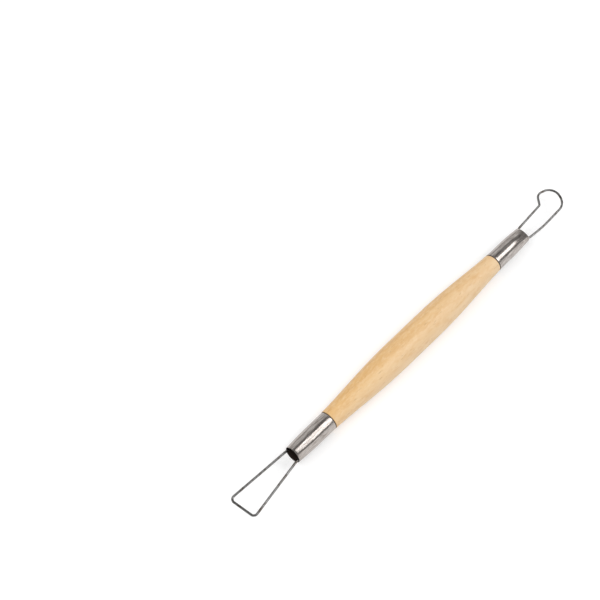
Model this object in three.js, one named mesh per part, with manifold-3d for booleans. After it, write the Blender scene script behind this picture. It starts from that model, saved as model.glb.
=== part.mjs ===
// Double-ended wire loop tool for modelling clay: a turned wooden handle with a bent steel wire
// loop at each end, each loop held in a thin nickel-plated ferrule. Millimetres, +Z up.
// The tool lies along X on its belly. The square loop is at -X and the keyhole loop at +X.
import * as THREE from 'three'
import * as BufferGeometryUtils from 'three/addons/utils/BufferGeometryUtils.js'
import Module from 'manifold-3d'

// Wooden handle
const handleLength = 102 // between the two shoulders
const bellyDiameter = 12.5
const bellyStraight = 20 // the middle stretch that runs parallel
const swellPower = 1.4 // how slowly the swell leaves the shoulder
const shoulderStep = 0.05 // how far the wood stands proud of the ferrule
const tenonLength = 10
const tenonChamfer = 0.6

// Ferrules
const ferruleLength = 20.5
const ferruleDiameter = 8.3
const ferruleWall = 0.3
const ferruleStraight = 9 // the stretch next to the wood that stays round
const noseDrawnSides = 0.5 // how far each side of the mouth is drawn in
const squareMouthPress = -0.1 // this mouth's top and bottom bulge as its sides are squeezed
const keyholeMouthPress = 1.8 // this mouth's top and bottom are pressed in on its wire

// Wires and the slots that hold them
const wireDiameter = 1
const tailInset = 1.5 // from the shoulder to the end of the wire's tail
const mouthBendReach = 0.35 // the legs start to spread this far outside the mouth
const mouthBendRadius = 0.8

// Square loop, each reach measured from the ferrule's mouth to the middle of the wire
const squareReach = 28.9 // to the middle of the bar
const squareWidth = 11.5
const squareOffset = 1.4 // the bar sits this far to one side
const squareSkew = 1.5 // one end of the bar reaches this much further than the other
const squareCornerRadius = 1.6

// Keyhole loop: two legs that flare at the mouth, a kink on one side only, and a round end
const flareReach = 1.3
const flareSide = 3.1
const kinkReach = 17.1
const kinkSide = 4.15
const kinkRadius = 1.5
const lobeReach = 20.8
const lobeSide = 8.5
const lobeRadius = 3.4
const tipReach = 29.3
const tipSide = 5.9
const tipRadius = 4.6
const cheekReach = 25.6
const cheekSide = 3.2
const cheekRadius = 6.5
const plainLegReach = 9.5 // the leg without the kink bows out a little
const plainLegSide = 3.7
const plainLegRadius = 30

// Clearances
const tenonClearance = 0.1 // glue line between the tenon and the ferrule
const wireClearance = 0.06 // between the wire and the inside of the ferrule's mouth
const slotClearance = 0.2 // between the wire and the walls of its slot

// Fineness
const roundSides = 32
const wireSides = 12
const swellSteps = 14
const drawSteps = 6
const bendStep = Math.PI / 12 // the turn between two sections round a bend

// Places that follow from the sizes
const shoulderX = handleLength / 2
const mouthX = shoulderX + ferruleLength
const shoulderRadius = ferruleDiameter / 2 + shoulderStep
const tenonRadius = ferruleDiameter / 2 - ferruleWall - tenonClearance
const wireRadius = wireDiameter / 2
const tailSide = ferruleDiameter / 2 - noseDrawnSides - ferruleWall - wireClearance - wireRadius
const axisHeight = (bellyDiameter / 2) * Math.cos(Math.PI / roundSides)

const wasm = await Module()
wasm.setup()

// A closed three.js geometry as a manifold solid, without the slivers that meet on an axis
function toSolid(geometry) {
  const bare = geometry.index ? geometry.clone() : geometry
  bare.deleteAttribute('normal')
  bare.deleteAttribute('uv')
  const merged = BufferGeometryUtils.mergeVertices(bare, 1e-5)
  const corners = merged.index.array
  const kept = []
  for (let i = 0; i < corners.length; i += 3) {
    const [a, b, c] = [corners[i], corners[i + 1], corners[i + 2]]
    if (a !== b && b !== c && c !== a) kept.push(a, b, c)
  }
  return new wasm.Manifold(new wasm.Mesh({
    numProp: 3,
    vertProperties: new Float32Array(merged.attributes.position.array),
    triVerts: new Uint32Array(kept),
  }))
}

// A manifold solid back as a three.js geometry
function toGeometry(solid) {
  const mesh = solid.getMesh()
  const geometry = new THREE.BufferGeometry()
  geometry.setAttribute('position', new THREE.BufferAttribute(mesh.vertProperties, 3))
  geometry.setIndex(new THREE.BufferAttribute(mesh.triVerts, 1))
  geometry.computeVertexNormals()
  return geometry
}

// A profile of [radius, x] pairs turned about the X axis, with a facet square to -Z at the bottom
function turned(profile) {
  const points = profile.map(([radius, x]) => new THREE.Vector2(radius, x))
  const geometry = new THREE.LatheGeometry(points, roundSides, Math.PI / roundSides)
  geometry.rotateZ(-Math.PI / 2)
  return geometry
}

// The radius of the handle at a distance x from its middle
function handleRadius(x) {
  const run = (shoulderX - Math.abs(x)) / (shoulderX - bellyStraight / 2)
  const share = Math.sin((Math.PI / 2) * Math.min(run, 1)) ** swellPower
  return shoulderRadius + (bellyDiameter / 2 - shoulderRadius) * share
}

// Half of the handle's profile, from the middle of the belly out to the end of the tenon
function handleHalfProfile() {
  const swellRun = shoulderX - bellyStraight / 2
  const half = []
  for (let i = 0; i <= swellSteps; i += 1) {
    const x = bellyStraight / 2 + (swellRun * i) / swellSteps
    half.push([handleRadius(x), x])
  }
  half.push([tenonRadius, shoulderX])
  half.push([tenonRadius, shoulderX + tenonLength - tenonChamfer])
  half.push([tenonRadius - tenonChamfer, shoulderX + tenonLength])
  half.push([0, shoulderX + tenonLength])
  return half
}

// One slot for a wire's tail, cut into the side of a tenon and open at the tenon's end
function tailSlot(end, side) {
  const start = shoulderX + tailInset - slotClearance
  const stop = shoulderX + tenonLength + 1
  const floor = tailSide - wireRadius - slotClearance
  const outside = tenonRadius + 1
  const slot = new THREE.BoxGeometry(stop - start, outside - floor, wireDiameter + 2 * slotClearance)
  slot.translate((end * (start + stop)) / 2, (side * (floor + outside)) / 2, 0)
  return toSolid(slot)
}

function handleGeometry() {
  const half = handleHalfProfile()
  const mirrored = half.map(([radius, x]) => [radius, -x]).reverse()
  let solid = toSolid(turned([...mirrored, ...half]))
  for (const end of [-1, 1]) {
    for (const side of [-1, 1]) {
      solid = solid.subtract(tailSlot(end, side))
    }
  }
  return toGeometry(solid)
}

// How far along its draw the ferrule is at x: 0 on the round stretch, 1 at the mouth
function drawShare(x) {
  const run = (x - shoulderX - ferruleStraight) / (ferruleLength - ferruleStraight)
  return Math.max(run, 0) ** 2
}

// A solid plug in the shape of a drawn ferrule of the given base radius, from x = from to x = to.
// It is turned round, and then its top and bottom are pressed so that the mouth becomes oval.
function ferrulePlug(baseRadius, from, to, mouthPress) {
  const stations = [from, shoulderX + ferruleStraight]
  for (let i = 1; i <= drawSteps; i += 1) {
    stations.push(shoulderX + ferruleStraight + ((ferruleLength - ferruleStraight) * i) / drawSteps)
  }
  if (to > mouthX) stations.push(to)
  const sideRadius = (x) => baseRadius - noseDrawnSides * drawShare(x)
  const faceRadius = (x) => baseRadius - mouthPress * drawShare(x)
  const profile = stations.map((x) => [sideRadius(x), x])
  const geometry = turned([[0, from], ...profile, [0, to]])
  const position = geometry.attributes.position
  for (let i = 0; i < position.count; i += 1) {
    const x = position.getX(i)
    position.setZ(i, (position.getZ(i) * faceRadius(x)) / sideRadius(x))
  }
  return toSolid(geometry)
}

function ferruleGeometry(mouthPress) {
  const past = 1
  const innerRadius = ferruleDiameter / 2 - ferruleWall
  const outside = ferrulePlug(ferruleDiameter / 2, shoulderX, mouthX, mouthPress)
  const inside = ferrulePlug(innerRadius, shoulderX - past, mouthX + past, mouthPress)
  return toGeometry(outside.subtract(inside))
}

// A wire's middle line in the XY plane: straight runs with a round bend at each corner.
// It is walked by its own list of stations, few on a straight and many round a bend.
class BentWire extends THREE.Curve {
  constructor(corners) {
    super()
    this.stations = []
    this.tangents = []
    corners.forEach((corner, i) => {
      if (i === 0 || i === corners.length - 1) this.addEnd(corners, i)
      else this.addBend(corners[i - 1].point, corner, corners[i + 1].point)
    })
  }

  addEnd(corners, i) {
    const other = i === 0 ? corners[1].point : corners[i - 1].point
    const tangent = corners[i].point.clone().sub(other).normalize()
    this.stations.push(corners[i].point.clone())
    this.tangents.push(i === 0 ? tangent.negate() : tangent)
  }

  addBend(before, corner, after) {
    const arriving = corner.point.clone().sub(before).normalize()
    const leaving = after.clone().sub(corner.point).normalize()
    const turn = Math.atan2(arriving.cross(leaving), arriving.dot(leaving))
    const setback = corner.radius * Math.tan(Math.abs(turn) / 2)
    const start = corner.point.clone().addScaledVector(arriving, -setback)
    const steps = Math.max(2, Math.ceil(Math.abs(turn) / bendStep))
    const toCentre = new THREE.Vector2(-arriving.y, arriving.x).multiplyScalar(Math.sign(turn))
    const centre = start.clone().addScaledVector(toCentre, corner.radius)
    for (let i = 0; i <= steps; i += 1) {
      const angle = (turn * i) / steps
      this.stations.push(start.clone().rotateAround(centre, angle))
      this.tangents.push(arriving.clone().rotateAround(new THREE.Vector2(), angle))
    }
  }

  getPointAt(share) {
    const station = this.stations[Math.round(share * (this.stations.length - 1))]
    return new THREE.Vector3(station.x, station.y, 0)
  }

  getTangentAt(share) {
    const tangent = this.tangents[Math.round(share * (this.tangents.length - 1))]
    return new THREE.Vector3(tangent.x, tangent.y, 0)
  }
}

// A corner of a wire loop, at a reach beyond the ferrule's mouth and a distance to one side
function corner(reach, side, radius = 0) {
  return { point: new THREE.Vector2(mouthX + reach, side), radius }
}

// A loop at +X: a tail in its slot, a small bend at the mouth, the loop's own corners, and back
function wireGeometry(loopCorners) {
  const tailReach = tailInset - ferruleLength
  const wire = new BentWire([
    corner(tailReach, tailSide),
    corner(mouthBendReach, tailSide, mouthBendRadius),
    ...loopCorners,
    corner(mouthBendReach, -tailSide, mouthBendRadius),
    corner(tailReach, -tailSide),
  ])
  const section = new THREE.Shape().absarc(0, 0, wireRadius, 0, 2 * Math.PI)
  return new THREE.ExtrudeGeometry(section, {
    steps: wire.stations.length - 1,
    curveSegments: wireSides,
    extrudePath: wire,
  })
}

// The square loop is made at +X like the other and turned to its own end later
function squareLoopGeometry() {
  const wideSide = squareWidth / 2 + squareOffset
  const narrowSide = -squareWidth / 2 + squareOffset
  return wireGeometry([
    corner(squareReach - squareSkew / 2, wideSide, squareCornerRadius),
    corner(squareReach + squareSkew / 2, narrowSide, squareCornerRadius),
  ])
}

function keyholeLoopGeometry() {
  return wireGeometry([
    corner(flareReach, flareSide, mouthBendRadius),
    corner(kinkReach, kinkSide, kinkRadius),
    corner(lobeReach, lobeSide, lobeRadius),
    corner(tipReach, tipSide, tipRadius),
    corner(cheekReach, -cheekSide, cheekRadius),
    corner(plainLegReach, -plainLegSide, plainLegRadius),
    corner(flareReach, -flareSide, mouthBendRadius),
  ])
}

function birch() {
  return new THREE.MeshStandardMaterial({ color: 0xe0b878, roughness: 0.48, metalness: 0 })
}

function nickelPlate() {
  return new THREE.MeshStandardMaterial({ color: 0xa7a29b, roughness: 0.16, metalness: 1 })
}

function springWire() {
  return new THREE.MeshStandardMaterial({ color: 0x8c8c8c, roughness: 0.22, metalness: 1 })
}

function piece(name, geometry, material) {
  const mesh = new THREE.Mesh(geometry, material)
  mesh.name = name
  return mesh
}

const group = new THREE.Group()
group.position.z = axisHeight
group.add(piece('wood_handle', handleGeometry(), birch()))
const squareFerrule = ferruleGeometry(squareMouthPress).rotateZ(Math.PI)
group.add(piece('square_loop_ferrule', squareFerrule, nickelPlate()))
group.add(piece('keyhole_loop_ferrule', ferruleGeometry(keyholeMouthPress), nickelPlate()))
group.add(piece('square_wire_loop', squareLoopGeometry().rotateZ(Math.PI), springWire()))
group.add(piece('keyhole_wire_loop', keyholeLoopGeometry(), springWire()))

export default group
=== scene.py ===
# %% [markdown]
# # A wire loop tool for modelling clay
#
# The tool has a turned wooden handle, a plated ferrule at each end, and in each ferrule a loop of
# steel wire that cuts the clay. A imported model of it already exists, with settled sizes and plain
# surfaces. This lesson makes a finer version of each of its five pieces in the same place, and
# then the three finishes: pale sealed wood, nickel plate and drawn steel wire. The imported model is
# loaded first, because every new piece has to lie exactly where its plain version lies.

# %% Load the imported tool
import math

import bpy
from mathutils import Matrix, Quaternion, Vector
from mathutils.kdtree import KDTree


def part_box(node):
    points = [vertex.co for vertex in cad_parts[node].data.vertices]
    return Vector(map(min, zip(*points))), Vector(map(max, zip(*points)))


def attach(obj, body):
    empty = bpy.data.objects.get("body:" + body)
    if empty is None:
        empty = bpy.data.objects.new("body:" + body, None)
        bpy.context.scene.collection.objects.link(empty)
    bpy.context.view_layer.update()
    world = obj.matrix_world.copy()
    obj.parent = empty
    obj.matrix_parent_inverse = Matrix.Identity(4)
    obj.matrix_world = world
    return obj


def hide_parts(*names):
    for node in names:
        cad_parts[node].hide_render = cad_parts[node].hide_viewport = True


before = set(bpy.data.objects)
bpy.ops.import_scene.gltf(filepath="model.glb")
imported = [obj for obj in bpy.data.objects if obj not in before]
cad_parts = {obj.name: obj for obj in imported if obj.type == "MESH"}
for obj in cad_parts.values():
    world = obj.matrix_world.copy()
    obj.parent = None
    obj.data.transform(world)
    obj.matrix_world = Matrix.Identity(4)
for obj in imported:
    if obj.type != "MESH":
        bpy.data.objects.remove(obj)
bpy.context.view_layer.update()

print("packed nodes:", sorted(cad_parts))

# %% [markdown]
# ## Where the tool lies
#
# The tool lies along X on its belly, with the square loop at the left end and the keyhole loop at
# the right. Its axis is straight and level, so its height is the middle of the handle's box. All
# lengths here are in metres, and a millimetre gets a name so that the sizes read as a maker would
# say them.

# %% The tool's axis
mm = 0.001
handle_low, handle_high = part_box("wood_handle")
axis_height = (handle_low.z + handle_high.z) / 2
print("axis height in mm:", round(axis_height / mm, 3))

# %% [markdown]
# ## Two small helpers for working by hand
#
# A modeller at the screen picks an object, enters edit mode and starts with nothing selected. The
# first helper does that. The second one leaves edit mode, gives the object its name, and moves
# its place from the object into the mesh, so that the finished object sits at the origin.

# %% Open and close a piece
def open_for_editing(piece):
    """Makes the piece the only selected object and enters edit mode."""
    bpy.ops.object.select_all(action="DESELECT")
    piece.select_set(True)
    bpy.context.view_layer.objects.active = piece
    bpy.ops.object.mode_set(mode="EDIT")
    bpy.ops.mesh.select_mode(type="VERT")


def close_piece(name):
    """Leaves edit mode and puts the piece's place into its mesh."""
    bpy.ops.object.mode_set(mode="OBJECT")
    piece = bpy.context.object
    piece.name = name
    piece.data.name = name
    bpy.ops.object.transform_apply(location=True, rotation=True, scale=True)
    return piece


# %% [markdown]
# ## The handle
#
# The handle is a spindle turned from one stick of pale wood. A lathe makes it by cutting one
# circle after another, and the same way works here: a circle is drawn at the end of the left
# tenon, and is then extruded along the axis and scaled at each step until it reaches the end of
# the right tenon. A screw or a revolved curve could give the same form, but the rings keep the
# swell of the belly in one short formula, which is easy to change.

# %% Sizes of the handle
shoulder_x = 51 * mm
belly_radius = 6.25 * mm
belly_straight = 10 * mm
swell_power = 1.4
shoulder_radius = 4.2 * mm
shoulder_easing = 0.35 * mm
tenon_radius = 3.75 * mm
tenon_end_x = 61 * mm
tenon_chamfer = 0.6 * mm
handle_sides = 96
swell_rings = 30
easing_rings = 5
print("length between the shoulders in mm:", round(2 * shoulder_x / mm, 1))


# %% The swell of the belly
def handle_radius(x):
    """Radius of the wood at a distance x from the middle of the belly."""
    run = (shoulder_x - abs(x)) / (shoulder_x - belly_straight)
    share = math.sin(math.pi / 2 * min(run, 1)) ** swell_power
    return shoulder_radius + (belly_radius - shoulder_radius) * share


def right_half_of_handle():
    """Rings as (x, radius) from the middle of the belly to the end of the right tenon."""
    rings = []
    swell_end = shoulder_x - shoulder_easing
    for i in range(swell_rings + 1):
        x = belly_straight + (swell_end - belly_straight) * i / swell_rings
        rings.append((x, handle_radius(x)))
    for i in range(1, easing_rings + 1):
        angle = math.pi / 2 * i / easing_rings
        x = swell_end + shoulder_easing * math.sin(angle)
        rings.append((x, shoulder_radius - shoulder_easing * (1 - math.cos(angle))))
    rings.append((shoulder_x, tenon_radius))
    rings.append((tenon_end_x - tenon_chamfer, tenon_radius))
    rings.append((tenon_end_x, tenon_radius - tenon_chamfer))
    return rings


right_half = right_half_of_handle()
handle_rings = [(-x, radius) for x, radius in reversed(right_half)] + right_half
print("rings along the handle:", len(handle_rings))


# %% [markdown]
# ## Pulling one ring after another
#
# Both the handle and the ferrules are made of rings round the tool's axis. A ring is described by
# its x, its half width and its half height, so that the same helper serves the round handle and
# the pressed, oval mouth of a ferrule.

# %% Draw the first ring and pull the others from it
def draw_first_ring(x, half_width, sides):
    """A bare circle round the axis, left selected in edit mode."""
    bpy.ops.mesh.primitive_circle_add(
        vertices=sides,
        radius=half_width,
        fill_type="NOTHING",
        location=(x, 0, axis_height),
        rotation=(0, math.pi / 2, 0),
    )
    open_for_editing(bpy.context.object)
    bpy.ops.mesh.select_all(action="SELECT")


def pull_rings(rings):
    """Extrudes the selected ring through (x, half width, half height) places."""
    last_x, last_width, last_height = rings[0]
    for x, width, height in rings[1:]:
        step = {"value": (x - last_x, 0, 0)}
        bpy.ops.mesh.extrude_region_move(TRANSFORM_OT_translate=step)
        growth = (1, width / last_width, height / last_height)
        bpy.ops.transform.resize(value=growth, center_override=(x, 0, axis_height))
        last_x, last_width, last_height = x, width, height


# %% Turn the handle
draw_first_ring(handle_rings[0][0], handle_rings[0][1], handle_sides)
pull_rings([(x, radius, radius) for x, radius in handle_rings])
bpy.ops.mesh.select_all(action="SELECT")
bpy.ops.mesh.fill_holes(sides=0)
bpy.ops.mesh.select_all(action="SELECT")
bpy.ops.mesh.normals_make_consistent(inside=False)
handle = close_piece("turned_handle")
print("handle points:", len(handle.data.vertices), "sizes:", tuple(handle.dimensions))

# %% [markdown]
# ## Slots for the tails of the wires
#
# Inside each ferrule the tenon has a narrow slot down both sides, where the two tails of a wire
# lie in glue. A slot is one saw cut, so it is made as the saw makes it: a cube is scaled to the
# size of the cut and taken out of the wood with a Boolean modifier. An inset and an extrusion
# inwards would need faces of just that width on the round tenon, which it doesn't have.

# %% Sizes of the slots
tail_side = 2.79 * mm
wire_radius = 0.5 * mm
slot_clearance = 0.2 * mm
tail_end_x = shoulder_x + 1.5 * mm
slot_overrun = 1 * mm
slot_floor = tail_side - wire_radius - slot_clearance
print("floor of a slot, in mm from the axis:", round(slot_floor / mm, 2))


# %% Cut the four slots
def cut_slot(end, side):
    """Takes one slot out of the handle, at an end (-1 or 1) and a side (-1 or 1)."""
    start = tail_end_x - slot_clearance
    stop = tenon_end_x + slot_overrun
    outside = tenon_radius + slot_overrun
    middle = (end * (start + stop) / 2, side * (slot_floor + outside) / 2, axis_height)
    slot_width = 2 * (wire_radius + slot_clearance)
    bpy.ops.mesh.primitive_cube_add(size=1, location=middle)
    open_for_editing(bpy.context.object)
    bpy.ops.mesh.select_all(action="SELECT")
    cut_size = (stop - start, outside - slot_floor, slot_width)
    bpy.ops.transform.resize(value=cut_size, center_override=middle)
    cutter = close_piece("slot_cutter")
    difference = handle.modifiers.new("slot", "BOOLEAN")
    difference.operation = "DIFFERENCE"
    difference.solver = "EXACT"
    difference.object = cutter
    bpy.ops.object.select_all(action="DESELECT")
    handle.select_set(True)
    bpy.context.view_layer.objects.active = handle
    bpy.ops.object.modifier_apply(modifier="slot")
    bpy.data.objects.remove(cutter)


for slot_end in (-1, 1):
    for slot_side in (-1, 1):
        cut_slot(slot_end, slot_side)
bpy.ops.object.shade_smooth_by_angle(angle=math.radians(30))
print("handle points with its slots:", len(handle.data.vertices))

# %% [markdown]
# ## The ferrules
#
# A ferrule is a short length of thin plated tube. It stays round over the wood, and its free end
# is drawn in at the sides so that the mouth pinches the two legs of the wire. The two mouths are
# not alike: the one that holds the square loop bulges a little at top and bottom and shows a wide
# dark opening, while the one that holds the keyhole loop is pressed in from above and below. The
# ring is pulled out along the outside, over the rounded rim of the mouth, back along the inside
# and over the other rim to where it began. That gives a real wall with two rounded rims, which a
# Solidify modifier would leave square.

# %% Sizes of a ferrule
ferrule_radius = 4.15 * mm
ferrule_wall = 0.3 * mm
ferrule_straight = 9 * mm
mouth_x = 71.5 * mm
drawn_sides = 0.5 * mm
square_mouth_press = -0.1 * mm
keyhole_mouth_press = 1.8 * mm
ferrule_sides = 96
straight_rings = 6
drawn_rings = 16
rim_rings = 6
print("ferrule length in mm:", round((mouth_x - shoulder_x) / mm, 2))


# %% Places of the rings
def ferrule_ring(x, depth, press):
    """A ring at x, at a depth below the outside: (x, half width, half height)."""
    run = (x - shoulder_x - ferrule_straight) / (mouth_x - shoulder_x - ferrule_straight)
    drawn = max(run, 0) ** 2
    radius = ferrule_radius - depth
    return (x, radius - drawn_sides * drawn, radius - press * drawn)


def along_the_wall(depth, press):
    """Rings from the wood to the mouth, at a depth below the outside."""
    near = shoulder_x + ferrule_wall / 2
    bend = shoulder_x + ferrule_straight
    far = mouth_x - ferrule_wall / 2
    places = [near + (bend - near) * i / straight_rings for i in range(straight_rings)]
    places += [bend + (far - bend) * i / drawn_rings for i in range(drawn_rings + 1)]
    return [ferrule_ring(x, depth, press) for x in places]


def round_the_rim(edge_x, outward, press):
    """Rings over a rounded rim, from the outside of the wall to its inside."""
    rings = []
    half_wall = ferrule_wall / 2
    for i in range(1, rim_rings):
        angle = math.pi * i / rim_rings
        x = edge_x - outward * half_wall * (1 - math.sin(angle))
        rings.append(ferrule_ring(x, half_wall * (1 - math.cos(angle)), press))
    return rings


for press in (square_mouth_press, keyhole_mouth_press):
    half_width, half_height = ferrule_ring(mouth_x, 0, press)[1:]
    print("mouth in mm:", round(2 * half_width / mm, 2), "by", round(2 * half_height / mm, 2))


# %% Draw a ferrule
def draw_ferrule(press, name):
    """One ferrule at the right end, its mouth pressed in by so much at top and bottom."""
    outside = along_the_wall(0, press)
    inside = list(reversed(along_the_wall(ferrule_wall, press)))
    mouth_rim = round_the_rim(mouth_x, 1, press)
    wood_rim = list(reversed(round_the_rim(shoulder_x, -1, press)))
    rings = outside + mouth_rim + inside + wood_rim + [outside[0]]
    draw_first_ring(rings[0][0], rings[0][1], ferrule_sides)
    pull_rings(rings)
    bpy.ops.mesh.select_all(action="SELECT")
    bpy.ops.mesh.remove_doubles(threshold=0.001 * mm)
    bpy.ops.mesh.normals_make_consistent(inside=False)
    piece = close_piece(name)
    bpy.ops.object.shade_smooth_by_angle(angle=math.radians(60))
    return piece


# %% [markdown]
# ## Which side of the wall is plated
#
# Only the outside of the tube is bright. The inside is bare and brown with dried glue, and it and
# the edge of the mouth are painted near black as painted shade in the hollow. The material has to
# know which is which, so each point of the mesh keeps a number: 0 on the outside, 1 on the inside,
# and in between over the rounded rims.

# %% Mark the inside of a ferrule
def mark_inner_wall(piece, press):
    """Stores how deep each point lies in the wall, from 0 outside to 1 inside."""
    marks = piece.data.attributes.new("inner_wall", "FLOAT", "POINT")
    for i, vertex in enumerate(piece.data.vertices):
        half_width, half_height = ferrule_ring(vertex.co.x, 0, press)[1:]
        height = vertex.co.z - axis_height
        span = math.hypot(vertex.co.y / half_width, height / half_height)
        across = math.hypot(vertex.co.y, height)
        depth = across / span - across
        marks.data[i].value = min(max(depth / ferrule_wall, 0), 1)
    return marks


# %% Make both ferrules
tool_middle = (0, 0, axis_height)
keyhole_ferrule = draw_ferrule(keyhole_mouth_press, "keyhole_end_ferrule")
mark_inner_wall(keyhole_ferrule, keyhole_mouth_press)
square_ferrule = draw_ferrule(square_mouth_press, "square_end_ferrule")
mark_inner_wall(square_ferrule, square_mouth_press)
open_for_editing(square_ferrule)
bpy.ops.mesh.select_all(action="SELECT")
bpy.ops.transform.rotate(value=math.pi, orient_axis="Z", center_override=tool_middle)
bpy.ops.object.mode_set(mode="OBJECT")
for ferrule in (square_ferrule, keyhole_ferrule):
    print(ferrule.name, "faces:", len(ferrule.data.polygons), "sizes:", tuple(ferrule.dimensions))

# %% [markdown]
# ## The wires
#
# Each loop is one round steel wire, bent in a jig. It starts as a tail in its slot, leaves the
# mouth, takes its bends one after another, and comes back into the other slot. The modelling
# follows the bender: the end ring of the wire is extruded straight to where a bend begins, and is
# then spun round the middle of the bend. A curve with a round bevel would also do, but spinning
# keeps every bend at its true radius and every ring square to the wire.

# %% Corners of a loop
def corner(reach, side, radius):
    """A corner in millimetres: how far past the mouth, how far to one side, and its radius."""
    return (Vector((mouth_x + reach * mm, side * mm, axis_height)), radius * mm)


square_corners = [
    corner(28.15, 7.15, 1.6),
    corner(29.65, -4.35, 1.6),
]
keyhole_corners = [
    corner(1.3, 3.1, 0.8),
    corner(17.1, 4.15, 1.5),
    corner(20.8, 8.5, 3.4),
    corner(29.3, 5.9, 4.6),
    corner(25.6, -3.2, 6.5),
    corner(9.5, -3.7, 30),
    corner(1.3, -3.1, 0.8),
]
print("corners:", len(square_corners), "in the square loop,", len(keyhole_corners), "in the other")


# %% Add the tails to a loop
mouth_bend_reach = 0.35
mouth_bend_radius = 0.8


def whole_wire(loop_corners):
    """All the corners of a wire, from the end of one tail to the end of the other."""
    side = tail_side / mm
    first = (Vector((tail_end_x, tail_side, axis_height)), 0)
    last = (Vector((tail_end_x, -tail_side, axis_height)), 0)
    leaving = corner(mouth_bend_reach, side, mouth_bend_radius)
    entering = corner(mouth_bend_reach, -side, mouth_bend_radius)
    return [first, leaving, *loop_corners, entering, last]


# %% Where a bend lies
def bend_at(before, place, radius, after):
    """Where a bend starts and ends, its middle, and its turn to the left."""
    arriving = (place - before).normalized()
    leaving = (after - place).normalized()
    turn = math.atan2(arriving.cross(leaving).z, arriving.dot(leaving))
    setback = radius * math.tan(abs(turn) / 2)
    to_middle = Vector((-arriving.y, arriving.x, 0)) * math.copysign(radius, turn)
    start = place - arriving * setback
    return start, place + leaving * setback, start + to_middle, turn


# %% Bend a wire
wire_sides = 32
bend_step = math.radians(6)


def bend_wire(corners, name):
    """One wire through its corners. Returns the piece and points along its middle line."""
    middle_line = [corners[0][0]]
    bpy.ops.mesh.primitive_circle_add(
        vertices=wire_sides,
        radius=wire_radius,
        fill_type="NOTHING",
        location=corners[0][0],
        rotation=(0, math.pi / 2, 0),
    )
    open_for_editing(bpy.context.object)
    bpy.ops.mesh.select_all(action="SELECT")
    here = corners[0][0]
    for i in range(1, len(corners) - 1):
        place, radius = corners[i]
        start, end, middle, turn = bend_at(corners[i - 1][0], place, radius, corners[i + 1][0])
        step = {"value": start - here}
        bpy.ops.mesh.extrude_region_move(TRANSFORM_OT_translate=step)
        steps = max(2, math.ceil(abs(turn) / bend_step))
        bpy.ops.mesh.spin(steps=steps, angle=-turn, center=middle, axis=(0, 0, 1))
        for j in range(steps + 1):
            arm = start - middle
            arm.rotate(Quaternion((0, 0, 1), turn * j / steps))
            middle_line.append(middle + arm)
        here = end
    step = {"value": corners[-1][0] - here}
    bpy.ops.mesh.extrude_region_move(TRANSFORM_OT_translate=step)
    middle_line.append(corners[-1][0])
    bpy.ops.mesh.select_all(action="SELECT")
    bpy.ops.mesh.remove_doubles(threshold=0.001 * mm)
    bpy.ops.mesh.select_all(action="SELECT")
    bpy.ops.mesh.fill_holes(sides=0)
    bpy.ops.mesh.select_all(action="SELECT")
    bpy.ops.mesh.normals_make_consistent(inside=False)
    piece = close_piece(name)
    bpy.ops.object.shade_smooth_by_angle(angle=math.radians(40))
    return piece, middle_line


# %% Bend the keyhole loop
keyhole_wire, keyhole_line = bend_wire(whole_wire(keyhole_corners), "bent_keyhole_wire")
print("keyhole wire faces:", len(keyhole_wire.data.polygons), tuple(keyhole_wire.dimensions))

# %% Bend the square loop
square_wire, square_line = bend_wire(whole_wire(square_corners), "bent_square_wire")
print("square wire faces:", len(square_wire.data.polygons), tuple(square_wire.dimensions))

# %% [markdown]
# ## Where each point lay before the bending
#
# The die leaves fine lines along the wire while it is still straight, and they follow every bend
# afterwards. A pattern on the plain coordinates of the piece would run across the wire in the
# bends, so each point of the mesh keeps its place on the straight wire: how far along it lies,
# and how far from the middle line sideways and upwards. The nearest point of the middle line is
# looked up in a tree that was made for such searches.

# %% Store the straight places
def remember_straight_wire(piece, middle_line):
    """Stores for each point its place on the wire before it was bent."""
    tree = KDTree(len(middle_line))
    runs = [0]
    for i, place in enumerate(middle_line):
        tree.insert(place, i)
        if i > 0:
            runs.append(runs[-1] + (place - middle_line[i - 1]).length)
    tree.balance()
    straight = piece.data.attributes.new("before_bending", "FLOAT_VECTOR", "POINT")
    for i, vertex in enumerate(piece.data.vertices):
        middle, nearest = tree.find(vertex.co)[:2]
        before = middle_line[max(nearest - 1, 0)]
        after = middle_line[min(nearest + 1, len(middle_line) - 1)]
        heading = (after - before).normalized()
        sideways = heading.cross(vertex.co - middle).z
        upwards = vertex.co.z - axis_height
        straight.data[i].vector = (runs[nearest], sideways, upwards)
    return runs[-1]


for wire, line in ((keyhole_wire, keyhole_line), (square_wire, square_line)):
    wire_length = remember_straight_wire(wire, line)
    print(wire.name, "is bent from", round(wire_length / mm, 1), "mm of wire")

# %% [markdown]
# ## Turn the square loop to its own end
#
# The square loop was bent at the right end, like the other one, because the bender's sizes are
# the same there: a reach past the mouth and a distance to one side. Half a turn about the upright
# line through the middle of the handle brings it to the left end.

# %% Turn the square loop
open_for_editing(square_wire)
bpy.ops.mesh.select_all(action="SELECT")
bpy.ops.transform.rotate(value=math.pi, orient_axis="Z", center_override=tool_middle)
bpy.ops.object.mode_set(mode="OBJECT")
print("square loop reaches x =", round(min(v.co.x for v in square_wire.data.vertices) / mm, 2))

# %% [markdown]
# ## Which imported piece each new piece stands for
#
# Every new piece lies where its plain version lies, and takes its place. The list below says
# which is which, and the differences between their boxes are printed in millimetres. They stay
# within a few hundredths, which is the difference between a 32-sided round and a 96-sided one.

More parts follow.
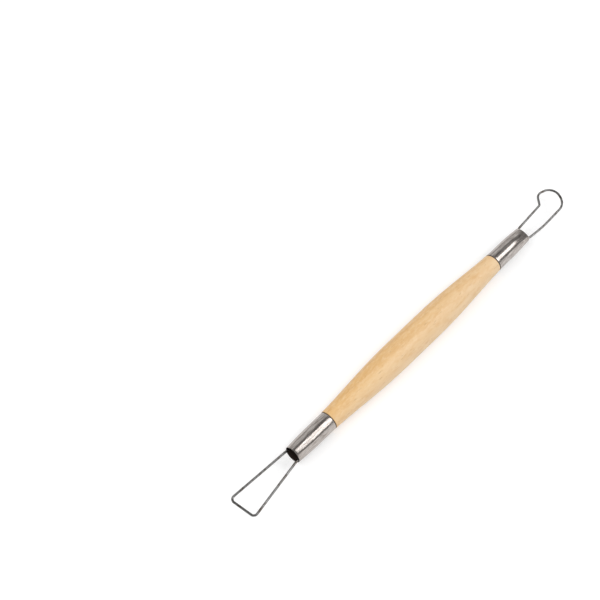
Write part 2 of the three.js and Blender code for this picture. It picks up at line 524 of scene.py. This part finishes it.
# %% Ride and replace
stands_for = {
    handle: ("wood_handle", "birch"),
    square_ferrule: ("square_loop_ferrule", "nickel_plate"),
    keyhole_ferrule: ("keyhole_loop_ferrule", "nickel_plate"),
    square_wire: ("square_wire_loop", "spring_wire"),
    keyhole_wire: ("keyhole_wire_loop", "spring_wire"),
}
for piece, (node_name, slot_name) in stands_for.items():
    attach(piece, "root")
    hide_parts(node_name)
    low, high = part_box(node_name)
    box = [Vector(c) for c in piece.bound_box]
    short = [round((min(c[i] for c in box) - low[i]) / mm, 2) for i in range(3)]
    over = [round((max(c[i] for c in box) - high[i]) / mm, 2) for i in range(3)]
    print(piece.name, "low", short, "high", over)

# %% [markdown]
# ## Placing nodes with little typing
#
# A finish is a small network of nodes. Each line of it says which node, what goes into it and how
# it is set. An input is either a number, which is set on the socket, or another node's output,
# which is linked to it. One helper does both.

# %% Add a node
def add_node(tree, kind, inputs=None, **settings):
    """Adds a node, sets it up, and fills its inputs with values or links."""
    fresh = tree.nodes.new("ShaderNode" + kind)
    for setting, value in settings.items():
        setattr(fresh, setting, value)
    for socket, value in (inputs or {}).items():
        if isinstance(value, bpy.types.NodeSocket):
            tree.links.new(value, fresh.inputs[socket])
        else:
            fresh.inputs[socket].default_value = value
    return fresh


def spread(tree, value, low, high, to_low, to_high):
    """Stretches the range low..high of a value to to_low..to_high, and stops at its ends."""
    inputs = {"Value": value, "From Min": low, "From Max": high}
    inputs["To Min"] = to_low
    inputs["To Max"] = to_high
    return add_node(tree, "MapRange", inputs).outputs["Result"]


def blend(tree, share, first, second):
    """A colour that goes from the first to the second as the share goes from 0 to 1."""
    factor, color_a, color_b, color_out = 0, 6, 7, 2
    inputs = {factor: share, color_a: first, color_b: second}
    return add_node(tree, "Mix", inputs, data_type="RGBA").outputs[color_out]


def start_finish(name):
    """A new material, its node tree, and its Principled shader."""
    finish = bpy.data.materials.new(name)
    finish.use_nodes = True
    return finish, finish.node_tree, finish.node_tree.nodes["Principled BSDF"]


# %% [markdown]
# ## Fine lines along the tool
#
# All three finishes have lines that run lengthwise: the fibres of the wood, the marks that the
# drawing die leaves on the tube, and those on the wire. They differ only in how fine and how long
# the lines are, so one node group serves all three. It stretches a noise along X. Across and Along
# say how many changes there are in a metre. An image of scratches could do this too, but a noise
# has no seam and no edge.

# %% The group for lengthwise lines
def open_group(name, inputs, output, output_kind):
    """A new node group with its input and output nodes."""
    group = bpy.data.node_groups.new(name, "ShaderNodeTree")
    for input_name, input_kind in inputs:
        socket_kind = "NodeSocket" + input_kind
        group.interface.new_socket(input_name, in_out="INPUT", socket_type=socket_kind)
    socket_kind = "NodeSocket" + output_kind
    group.interface.new_socket(output, in_out="OUTPUT", socket_type=socket_kind)
    return group, group.nodes.new("NodeGroupInput"), group.nodes.new("NodeGroupOutput")


line_inputs = (("Vector", "Vector"), ("Across", "Float"), ("Along", "Float"))
lengthwise_lines, given, result = open_group("lengthwise_lines", line_inputs, "Lines", "Float")
density = {"X": given.outputs["Along"], "Y": given.outputs["Across"]}
density["Z"] = given.outputs["Across"]
stretch = add_node(lengthwise_lines, "CombineXYZ", density)
stretched = {0: given.outputs["Vector"], 1: stretch.outputs["Vector"]}
place = add_node(lengthwise_lines, "VectorMath", stretched, operation="MULTIPLY")
line_noise = {"Vector": place.outputs["Vector"], "Scale": 1, "Detail": 3, "Roughness": 0.6}
lines = add_node(lengthwise_lines, "TexNoise", line_noise)
line_strength = spread(lengthwise_lines, lines.outputs["Fac"], 0.28, 0.72, 0, 1)
lengthwise_lines.links.new(line_strength, result.inputs["Lines"])
print("group", lengthwise_lines.name, "with", len(lengthwise_lines.nodes), "nodes")

# %% [markdown]
# ## The smudges of handling
#
# A tool that has been picked up is nowhere equally shiny. The same soft patches go over wood,
# plate and wire, each with its own size and its own range of roughness, so this is a group too.
# Its output goes into Roughness.

# %% The group for handling smudges
smudge_inputs = (("Vector", "Vector"), ("Size", "Float"), ("Clean", "Float"), ("Dull", "Float"))
handling_smudges, given, result = open_group(
    "handling_smudges", smudge_inputs, "Roughness", "Float"
)
closeness = {0: 1, 1: given.outputs["Size"]}
smudge_scale = add_node(handling_smudges, "Math", closeness, operation="DIVIDE")
smudge_noise = {"Vector": given.outputs["Vector"], "Scale": smudge_scale.outputs["Value"]}
smudge_noise["Detail"] = 4
smudge_noise["Roughness"] = 0.6
patches = add_node(handling_smudges, "TexNoise", smudge_noise)
smudge_range = (given.outputs["Clean"], given.outputs["Dull"])
dullness = spread(handling_smudges, patches.outputs["Fac"], 0.35, 0.68, *smudge_range)
handling_smudges.links.new(dullness, result.inputs["Roughness"])
print("group", handling_smudges.name, "with", len(handling_smudges.nodes), "nodes")

# %% [markdown]
# ## The dark line at the joint
#
# Where wood and ferrule meet, both are painted dark in a narrow line: painted shade in the joint.
# On the hidden tenon the same dark stands for dried glue. The group measures how far a point lies
# from the middle of the tool along X. It gives 0 where the surface is clean and 1 where the dark
# covers it, so wood and plate can each say where their own dark line ends.

# %% The group for the painted joint shade and glue
glue_and_shade_inputs = (("Vector", "Vector"), ("Clean", "Float"), ("Covered", "Float"))
# Painted shade: the dark that this group places is shade in the joint of wood and ferrule, and glue
# on the hidden tenon.
glue_and_joint_shade, given, result = open_group("glue_and_joint_shade", glue_and_shade_inputs, "Glue_and_shade", "Float")
along = add_node(glue_and_joint_shade, "SeparateXYZ", {"Vector": given.outputs["Vector"]}).outputs["X"]
from_middle = add_node(glue_and_joint_shade, "Math", {0: along}, operation="ABSOLUTE").outputs["Value"]
glue_and_shade_range = (given.outputs["Clean"], given.outputs["Covered"])
covering = spread(glue_and_joint_shade, from_middle, *glue_and_shade_range, 0, 1)
glue_and_joint_shade.links.new(covering, result.inputs["Glue_and_shade"])
print("group", glue_and_joint_shade.name, "with", len(glue_and_joint_shade.nodes), "nodes")

# %% [markdown]
# ## Placing a group
#
# In a material a group is one node more. The last helper places it with add_node, which fills
# the group's inputs with that material's own values.

# %% Place a group
def add_group(tree, group, inputs):
    """Places a node group in a material with its own values."""
    return add_node(tree, "Group", inputs, node_tree=group)


# %% [markdown]
# ## Pale sealed wood
#
# The handle is a close-grained pale wood, sanded smooth and sealed with a thin coat. From a step
# away it is almost plain; close up it has soft bands of growth, cloudy patches drawn out along the
# grain, pale mottles, fine fibre and short darker flecks. The growth rings are cylinders about the
# tree's pith, which lay well outside this stick and not quite in line with it, so the rings run
# out of the surface in long slanting bands. Each layer is weak, because a strong one would look
# like a different wood.

# %% Growth rings, clouds, mottles, fibre and flecks
birch, tree, shader = start_finish("birch")
on_handle = add_node(tree, "TexCoord").outputs["Object"]
pith_place = (0, 12 * mm, -31 * mm)
pith_slant = (0, 0.035, 0.05)
pith = {"Vector": on_handle, "Location": pith_place, "Rotation": pith_slant}
about_pith = add_node(tree, "Mapping", pith).outputs["Vector"]
ring_pattern = {"Vector": about_pith, "Scale": 105, "Distortion": 3, "Detail": 2}
ring_pattern["Detail Scale"] = 0.35
rings = add_node(tree, "TexWave", ring_pattern, wave_type="RINGS", rings_direction="X")
clouds = add_group(tree, lengthwise_lines, {"Vector": on_handle, "Across": 480, "Along": 150})
mottles = add_group(tree, lengthwise_lines, {"Vector": on_handle, "Across": 1100, "Along": 420})
fibre = add_group(tree, lengthwise_lines, {"Vector": on_handle, "Across": 3200, "Along": 110})
fleck_lines = {"Vector": on_handle, "Across": 1900, "Along": 300}
fleck_source = add_group(tree, lengthwise_lines, fleck_lines)
flecks = spread(tree, fleck_source.outputs["Lines"], 0.8, 0.98, 0, 1)
print("birch so far:", len(tree.nodes), "nodes")

# %% [markdown]
# ## Painted shade on the back of the handle
#
# The back of the handle, away from the lamps, is painted darker and more orange: painted shade
# and painted warm bounce light. The front is painted paler as the lit side. The border runs at a
# slant, so the end with the square loop is painted darker too. The lit and the shaded side each
# have their own pair of ring colours, and the place across the stick says how much of each there
# is.

# %% Painted shade: lit and shaded wood
# Painted shade: the back side of the handle gets darker, more orange ring colours than the front,
# and the slant carries this to the square end.
shaded_early = (0.79, 0.475, 0.175, 1)
shaded_late = (0.735, 0.415, 0.135, 1)
lit_early = (0.87, 0.63, 0.38, 1)
lit_late = (0.84, 0.58, 0.325, 1)
shaded_wood = blend(tree, rings.outputs["Fac"], shaded_early, shaded_late)
lit_wood = blend(tree, rings.outputs["Fac"], lit_early, lit_late)
shade_slant = 0.06
lit_side = -4.5 * mm
shaded_side = 5 * mm
toward_shade = {0: on_handle, 1: (-shade_slant, 1, 0)}
across_stick = add_node(tree, "VectorMath", toward_shade, operation="DOT_PRODUCT")
painted_shade_share = spread(tree, across_stick.outputs["Value"], lit_side, shaded_side, 0, 1)
color = blend(tree, painted_shade_share, lit_wood, shaded_wood)
print("wood colour so far:", len(tree.nodes), "nodes")

# %% [markdown]
# The finer colours are laid over these from the large to the small: honey-coloured clouds, pale
# mottles, fibre, and the flecks last. Beside the ferrules the eased shoulder is painted dark as
# painted shade in the joint, and the same dark stands for dried glue over the whole of the tenon
# inside.

# %% Clouds, mottles, fibre, flecks, painted joint shade and glue
honey_cloud = (0.70, 0.38, 0.125, 1)
pale_mottle = (0.89, 0.66, 0.40, 1)
pale_fibre = (0.82, 0.56, 0.30, 1)
fleck_brown = (0.42, 0.20, 0.07, 1)
glue_and_shade_brown = (0.13, 0.07, 0.03, 1)
cloud_strength = 0.45
mottle_strength = 0.55
fibre_strength = 0.4
fleck_strength = 0.42
glue_and_shade_strength = 0.95
cloud_share = spread(tree, clouds.outputs["Lines"], 0.45, 1, 0, cloud_strength)
color = blend(tree, cloud_share, color, honey_cloud)
mottle_share = spread(tree, mottles.outputs["Lines"], 0.4, 1, 0, mottle_strength)
color = blend(tree, mottle_share, color, pale_mottle)
fibre_share = spread(tree, fibre.outputs["Lines"], 0.35, 1, 0, fibre_strength)
color = blend(tree, fibre_share, color, pale_fibre)
fleck_share = spread(tree, flecks, 0, 1, 0, fleck_strength)
color = blend(tree, fleck_share, color, fleck_brown)
# Painted shade: near-black brown on the last 0.35 mm of the eased shoulder stands for shade in the
# joint; over the hidden tenon it is glue.
glue_and_shade_place = {"Vector": on_handle, "Clean": shoulder_x - 0.35 * mm, "Covered": shoulder_x}
glue_and_shade = add_group(tree, glue_and_joint_shade, glue_and_shade_place).outputs["Glue_and_shade"]
glue_and_shade_share = spread(tree, glue_and_shade, 0, 1, 0, glue_and_shade_strength)
color = blend(tree, glue_and_shade_share, color, glue_and_shade_brown)
tree.links.new(color, shader.inputs["Base Color"])
print("wood colour:", len(tree.nodes), "nodes")

# %% Sheen of the sealed wood
wood_smudges = {"Vector": on_handle, "Size": 0.014, "Clean": 0.36, "Dull": 0.5}
satin = add_group(tree, handling_smudges, wood_smudges)
tree.links.new(satin.outputs["Roughness"], shader.inputs["Roughness"])
shader.inputs["Coat Weight"].default_value = 0.12
shader.inputs["Coat Roughness"].default_value = 0.3
fibre_relief = {"Height": fibre.outputs["Lines"], "Strength": 1, "Distance": 0.008 * mm}
relief = add_node(tree, "Bump", fibre_relief).outputs["Normal"]
fleck_relief = {"Height": flecks, "Normal": relief, "Strength": 1, "Distance": 0.012 * mm}
fleck_bump = add_node(tree, "Bump", fleck_relief, invert=True)
tree.links.new(fleck_bump.outputs["Normal"], shader.inputs["Normal"])
print("birch:", len(tree.nodes), "nodes")

# %% [markdown]
# ## Nickel plate
#
# The tubes are bright plated metal with a warm grey cast. The die that drew them in has left faint
# lengthwise lines, and the plate is a little uneven, so a reflection is broken up into streaks.
# The lines change both the colour a little and the roughness, and also stand in low relief. The
# inside of the tube, marked on the mesh, is bare and brown, and it, the rounded rims and a hair's
# breadth of the outside beside the wood are painted near black: painted shade in the hollow and in
# the joint, with glue inside.

# %% Plate outside, bare tube inside, painted shade at the rims and the joint
nickel, tree, shader = start_finish("nickel_plate")
on_tube = add_node(tree, "TexCoord").outputs["Object"]
drawn = add_group(tree, lengthwise_lines, {"Vector": on_tube, "Across": 2400, "Along": 120})
streaks = add_group(tree, lengthwise_lines, {"Vector": on_tube, "Across": 1500, "Along": 260})
bright_nickel = (0.57, 0.53, 0.50, 1)
dull_nickel = (0.27, 0.235, 0.215, 1)
# Painted shade: this near black covers the tube's hollow and rims, and the joint beside the wood, as
# shade; inside it is also bare metal with glue.
bare_and_shaded_tube = (0.022, 0.013, 0.010, 1)
color = blend(tree, streaks.outputs["Lines"], bright_nickel, dull_nickel)
depth_in_wall = add_node(tree, "Attribute", attribute_name="inner_wall").outputs["Fac"]
inside = spread(tree, depth_in_wall, 0.06, 0.35, 0, 1)
# Painted shade: the outside within 0.4 mm of the wood is painted dark as shade in the joint.
joint_shade_end = shoulder_x + 0.4 * mm
glue_and_shade_place = {"Vector": on_tube, "Clean": joint_shade_end, "Covered": joint_shade_end - 0.2 * mm}
glue_and_shade = add_group(tree, glue_and_joint_shade, glue_and_shade_place).outputs["Glue_and_shade"]
unplated_and_shaded = {0: inside, 1: glue_and_shade}
inside = add_node(tree, "Math", unplated_and_shaded, operation="MAXIMUM").outputs["Value"]
color = blend(tree, inside, color, bare_and_shaded_tube)
tree.links.new(color, shader.inputs["Base Color"])
plated = spread(tree, inside, 0, 1, 1, 0)
tree.links.new(plated, shader.inputs["Metallic"])
print("nickel plate so far:", len(tree.nodes), "nodes")

# %% Polish of the plate
plate_smudges = {"Vector": on_tube, "Size": 0.005, "Clean": 0.13, "Dull": 0.22}
polish = add_group(tree, handling_smudges, plate_smudges).outputs["Roughness"]
line_dulling = spread(tree, drawn.outputs["Lines"], 0.3, 1, 0, 0.05)
polish = add_node(tree, "Math", {0: polish, 1: line_dulling}, operation="ADD").outputs["Value"]
inside_dulling = spread(tree, inside, 0, 1, 0, 0.5)
polish = add_node(tree, "Math", {0: polish, 1: inside_dulling}, operation="ADD").outputs["Value"]
tree.links.new(polish, shader.inputs["Roughness"])
wide_relief = {"Height": streaks.outputs["Lines"], "Strength": 1, "Distance": 0.006 * mm}
relief = add_node(tree, "Bump", wide_relief).outputs["Normal"]
fine_relief = {"Height": drawn.outputs["Lines"], "Normal": relief, "Strength": 1}
fine_relief["Distance"] = 0.0025 * mm
fine_bump = add_node(tree, "Bump", fine_relief)
tree.links.new(fine_bump.outputs["Normal"], shader.inputs["Normal"])
print("nickel plate:", len(tree.nodes), "nodes")

# %% [markdown]
# ## Drawn steel wire
#
# The wire is bare spring steel, grey and only half bright, with lines from the die along it and
# darker spots where fingers and damp clay have marked it. Its pattern reads the straight places
# stored on the mesh, so that it follows the bends.

# %% Wire
steel, tree, shader = start_finish("spring_wire")
straight_place = add_node(tree, "Attribute", attribute_name="before_bending").outputs["Vector"]
die_values = {"Vector": straight_place, "Across": 9000, "Along": 160}
die_lines = add_group(tree, lengthwise_lines, die_values)
tarnish_noise = {"Vector": straight_place, "Scale": 420, "Detail": 3, "Roughness": 0.55}
tarnish = add_node(tree, "TexNoise", tarnish_noise).outputs["Fac"]
tarnish = spread(tree, tarnish, 0.48, 0.66, 0, 1)
clean_steel = (0.33, 0.325, 0.32, 1)
lined_steel = (0.22, 0.215, 0.21, 1)
tarnished_steel = (0.125, 0.105, 0.09, 1)
color = blend(tree, die_lines.outputs["Lines"], clean_steel, lined_steel)
color = blend(tree, tarnish, color, tarnished_steel)
tree.links.new(color, shader.inputs["Base Color"])
shader.inputs["Metallic"].default_value = 1
wire_smudges = {"Vector": straight_place, "Size": 0.004, "Clean": 0.22, "Dull": 0.36}
wire_polish = add_group(tree, handling_smudges, wire_smudges)
tree.links.new(wire_polish.outputs["Roughness"], shader.inputs["Roughness"])
die_relief = {"Height": die_lines.outputs["Lines"], "Strength": 1, "Distance": 0.004 * mm}
die_bump = add_node(tree, "Bump", die_relief)
tree.links.new(die_bump.outputs["Normal"], shader.inputs["Normal"])
print("spring wire:", len(tree.nodes), "nodes")

# %% [markdown]
# ## Dressing the pieces
#
# Each piece now gets the finish of its slot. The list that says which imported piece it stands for
# already holds the name of the slot, so both ferrules, and likewise both wires, share one finish.

# %% Dress the pieces
finish_of_slot = {"birch": birch, "nickel_plate": nickel, "spring_wire": steel}
for piece, (node_name, slot_name) in stands_for.items():
    piece.data.materials.clear()
    piece.data.materials.append(finish_of_slot[slot_name])
    print(piece.name, "wears", slot_name)

# %% [markdown]
# ## The white bench
#
# The tool lies on plain white paper that runs out of view on all sides. The paper itself is only
# as light as real paper. What the camera and the bright metal see of it is lifted to full white
# through Light Path, so the lamps need not be turned up for it, and the tool's soft shadow stays.

# %% White paper
bench_height = min(v.co.z for v in handle.data.vertices)
bpy.ops.object.select_all(action="DESELECT")
bpy.ops.mesh.primitive_plane_add(size=4, location=(0, 0, bench_height))
bench = bpy.context.object
bench.name = "white_bench"
paper, tree, shader = start_finish("white_paper")
shader.inputs["Base Color"].default_value = (0.8, 0.8, 0.8, 1)
shader.inputs["Roughness"].default_value = 0.9
shader.inputs["Specular IOR Level"].default_value = 0
looking = add_node(tree, "LightPath")
rays = {0: looking.outputs["Is Camera Ray"], 1: looking.outputs["Is Glossy Ray"]}
seen = add_node(tree, "Math", rays, operation="MAXIMUM").outputs["Value"]
paper_lift = 0.3
lift = spread(tree, seen, 0, 1, 0, paper_lift)
shader.inputs["Emission Color"].default_value = (1, 1, 1, 1)
tree.links.new(lift, shader.inputs["Emission Strength"])
bench.data.materials.append(paper)
print("bench at z =", bench_height)

# %% [markdown]
# ## Light for a bright tube
#
# A plated tube shows the whole room as long bands from edge to edge, so its look is made by what
# stands round it. Going round the tool from the back, over the top and to the front there are: a
# large pale ceiling card, which gives the broad grey band; a dark gap; two softboxes side by side,
# which give the white band, the near one on the left ferrule and the main one on the right; a
# second gap; and a low white card at the front. The gaps are dark only in the metal. A fill lamp
# on the left makes the light on the wood even. It is kept out of the metal by its ray visibility,
# because it would put a glare on the parts of the wires that run crosswise. The room round all
# of them is dim, and only the camera sees it white, so that a low view has a white background.
#
# A lamp is given by the angles that it fills, in degrees from the back over the top, by the
# stretch of x that it covers, in metres, and by its brightness.

# %% Room light
room = bpy.data.worlds.new("studio_room")
bpy.context.scene.world = room
room.use_nodes = True
backdrop = room.node_tree.nodes["Background"]
backdrop.inputs["Color"].default_value = (1, 1, 1, 1)
looking = add_node(room.node_tree, "LightPath").outputs["Is Camera Ray"]
room_light = 0.3
room_strength = spread(room.node_tree, looking, 0, 1, room_light, 1)
room.node_tree.links.new(room_strength, backdrop.inputs["Strength"])
print("room:", len(room.node_tree.nodes), "nodes")


# %% Long lamps round the tool
def hang_panel(name, start_angle, end_angle, start_x, end_x, radiance):
    """A long lamp 1 m away that fills the angles from start to end, and the given stretch of x."""
    distance = 1.0
    middle_angle = math.radians((start_angle + end_angle) / 2)
    half_angle = math.radians((end_angle - start_angle) / 2)
    panel = bpy.data.lights.new(name, "AREA")
    panel.shape = "RECTANGLE"
    panel.size = end_x - start_x
    panel.size_y = 2 * distance * math.tan(half_angle)
    panel.energy = radiance * math.pi * panel.size * panel.size_y
    lamp = bpy.data.objects.new(name, panel)
    bpy.context.scene.collection.objects.link(lamp)
    outward = Vector((0, math.cos(middle_angle), math.sin(middle_angle)))
    lamp.location = outward * distance + Vector(((start_x + end_x) / 2, 0, axis_height))
    lamp.rotation_mode = "QUATERNION"
    lamp.rotation_quaternion = Quaternion((1, 0, 0), middle_angle - math.pi / 2)
    print(name, "is", round(panel.size_y, 2), "m wide")
    return lamp


hang_panel("ceiling_card", 5, 54, -0.2, 1.6, 0.5)
hang_panel("near_softbox", 86, 137, 0.29, 0.48, 3.4)
hang_panel("main_softbox", 96, 130, 0.48, 0.98, 2.6)
hang_panel("front_card", 158, 179, 0.0, 1.4, 0.9)
fill = hang_panel("left_fill", 50, 130, -1.6, -0.2, 2.0)
fill.visible_glossy = False

# %% [markdown]
# ## The camera
#
# The picture was taken from above one end with a lens of medium length. In it the tool has rolled
# a little about its own axis, so that the loops face the camera. Here the loops are kept level,
# and the camera is swung round the tool's axis by the same angle instead, which gives the same
# view of a round tool.

# %% Camera
tool_roll = math.radians(20)
swing = Quaternion((1, 0, 0), -tool_roll)
axis_point = Vector((0, 0, axis_height))
camera_place = Vector((-230.47, -266.45, 395.22)) * mm
camera_target = Vector((-11.195, 54.733, 0)) * mm
camera_tilt = math.radians(-15.817)
look = (camera_target - camera_place).to_track_quat("-Z", "Y")
camera_data = bpy.data.cameras.new("camera")
camera_data.sensor_width = 36
camera_data.lens = 78.02
camera_data.clip_start = 0.01
camera = bpy.data.objects.new("camera", camera_data)
bpy.context.scene.collection.objects.link(camera)
camera.location = axis_point + swing @ camera_place
camera.rotation_mode = "QUATERNION"
camera.rotation_quaternion = swing @ look @ Quaternion((0, 0, 1), camera_tilt)
bpy.context.scene.camera = camera
bpy.context.scene.view_settings.view_transform = "Standard"
print("camera at", [round(c, 3) for c in camera.location])
